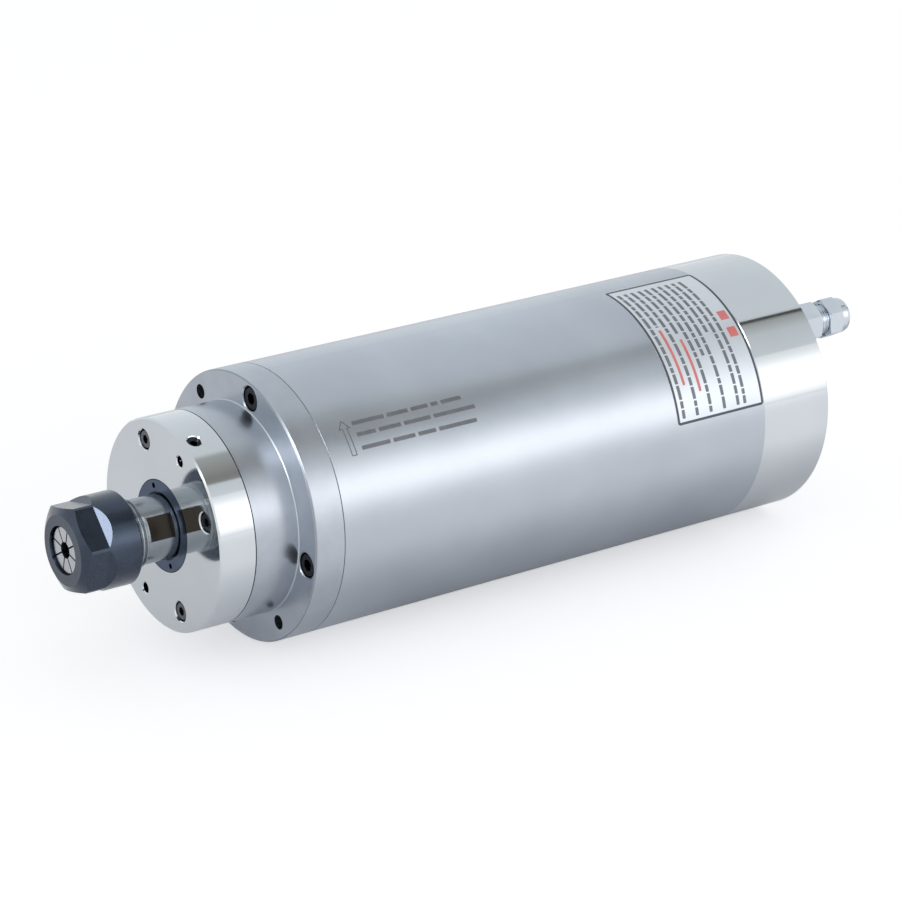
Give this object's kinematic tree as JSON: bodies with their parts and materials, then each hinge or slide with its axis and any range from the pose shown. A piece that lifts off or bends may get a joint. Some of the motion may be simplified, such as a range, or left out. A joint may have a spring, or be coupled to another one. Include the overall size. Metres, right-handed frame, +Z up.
{
  "type": "motor spindle",
  "caption": "Liquid-cooled electric motor spindle in a round steel body, with a spring collet and hexagon nut on its nose and water fittings at the rear.",
  "frame": {"origin": "on the spindle axis, in the front face of the mounting flange", "axes": "+X along the spindle axis from the nose to the rear, +Z up with the spindle lying as in the picture, +Y completes the frame"},
  "size_m": [0.3363, 0.1, 0.1],
  "materials": {
    "brushed_steel": "satin turned stainless steel",
    "polished_nickel": "bright nickel plating on turned steel",
    "black_oxide": "blue-black oxide on steel",
    "blued_ring": "dark blued steel",
    "ground_steel": "ground bearing and shaft steel",
    "collet_steel": "ground and polished spring steel",
    "screw_steel": "plain steel screws",
    "core_iron": "laminated electrical steel",
    "copper_winding": "enamelled copper winding, varnished",
    "cast_aluminium": "cast aluminium",
    "cage_resin": "laminated resin cage",
    "seal_rubber": "black nitrile rubber",
    "nickel_brass": "nickel plated brass",
    "connector_insulator": "black moulded insulator",
    "contact_brass": "gold-coloured contacts"
  },
  "bodies": {
    "housing": {"air_port_plug": "black_oxide", "body_tube": "brushed_steel", "connector_gasket": "seal_rubber", "connector_insert": "connector_insulator", "connector_pins": "contact_brass", "connector_screws": "screw_steel", "connector_shell": "nickel_brass", "fitting_washers": "seal_rubber", "flange_screws": "black_oxide", "front_bearing_outer_rings": "ground_steel", "front_cap": "polished_nickel", "front_cap_screws": "screw_steel", "front_housing": "brushed_steel", "front_outer_spacer": "ground_steel", "jacket_sleeve": "ground_steel", "preload_spring": "ground_steel", "rear_bearing_outer_ring": "ground_steel", "rear_cap": "polished_nickel", "rear_cap_screws": "black_oxide", "rear_housing": "ground_steel", "sleeve_seal_rings": "seal_rubber", "stator_core": "core_iron", "stator_windings": "copper_winding", "water_inlet_body": "nickel_brass", "water_outlet_body": "nickel_brass"},
    "rotor": {"spindle_shaft": "ground_steel", "rotor_core": "core_iron", "rotor_cage": "cast_aluminium", "front_bearing_inner_rings": "ground_steel", "front_inner_spacer": "ground_steel", "front_lock_ring": "blued_ring", "rear_bearing_inner_ring": "ground_steel", "rear_lock_nut": "ground_steel"},
    "collet": {"collet": "collet_steel"},
    "nut": {"collet_nut": "black_oxide"},
    "front_cages": {"front_bearing_cages": "cage_resin", "front_bearing_balls": "ground_steel"},
    "rear_cage": {"rear_bearing_cage": "cage_resin", "rear_bearing_balls": "ground_steel"},
    "inlet_ferrule": {"water_inlet_ferrule": "nickel_brass"},
    "inlet_nut": {"water_inlet_nut": "nickel_brass"},
    "outlet_ferrule": {"water_outlet_ferrule": "nickel_brass"},
    "outlet_nut": {"water_outlet_nut": "nickel_brass"}
  },
  "joints": [
    {"name": "spindle_spin", "type": "hinge", "parent": "housing", "child": "rotor", "pos_m": [0, 0, 0], "axis": [1, 0, 0], "continuous": true},
    {"name": "collet_slide", "type": "slide", "parent": "rotor", "child": "collet", "axis": [-1, 0, 0], "range_m": [0, 0.0136]},
    {"name": "nut_turn", "type": "hinge", "parent": "collet", "child": "nut", "pos_m": [0, 0, 0], "axis": [-1, 0, 0], "range_deg": [0, 3240]},
    {"name": "front_cage_spin", "type": "hinge", "parent": "housing", "child": "front_cages", "pos_m": [0, 0, 0], "axis": [1, 0, 0], "continuous": true},
    {"name": "rear_cage_spin", "type": "hinge", "parent": "housing", "child": "rear_cage", "pos_m": [0.19, 0, 0], "axis": [1, 0, 0], "continuous": true},
    {"name": "inlet_ferrule_slide", "type": "slide", "parent": "housing", "child": "inlet_ferrule", "axis": [1, 0, 0], "range_m": [0, 0.0041]},
    {"name": "inlet_nut_turn", "type": "hinge", "parent": "inlet_ferrule", "child": "inlet_nut", "pos_m": [0.258, -0.02314, 0.02758], "axis": [1, 0, 0], "range_deg": [0, 1440]},
    {"name": "outlet_ferrule_slide", "type": "slide", "parent": "housing", "child": "outlet_ferrule", "axis": [1, 0, 0], "range_m": [0, 0.0041]},
    {"name": "outlet_nut_turn", "type": "hinge", "parent": "outlet_ferrule", "child": "outlet_nut", "pos_m": [0.258, 0.02314, -0.02758], "axis": [1, 0, 0], "range_deg": [0, 1440]}
  ],
  "couplings": [
    {"joint": "collet_slide", "follows": "nut_turn", "m_per_rad": 0.00023873},
    {"joint": "front_cage_spin", "follows": "spindle_spin", "ratio": 0.415},
    {"joint": "rear_cage_spin", "follows": "spindle_spin", "ratio": 0.401},
    {"joint": "inlet_ferrule_slide", "follows": "inlet_nut_turn", "m_per_rad": 0.00015915},
    {"joint": "outlet_ferrule_slide", "follows": "outlet_nut_turn", "m_per_rad": 0.00015915}
  ]
}
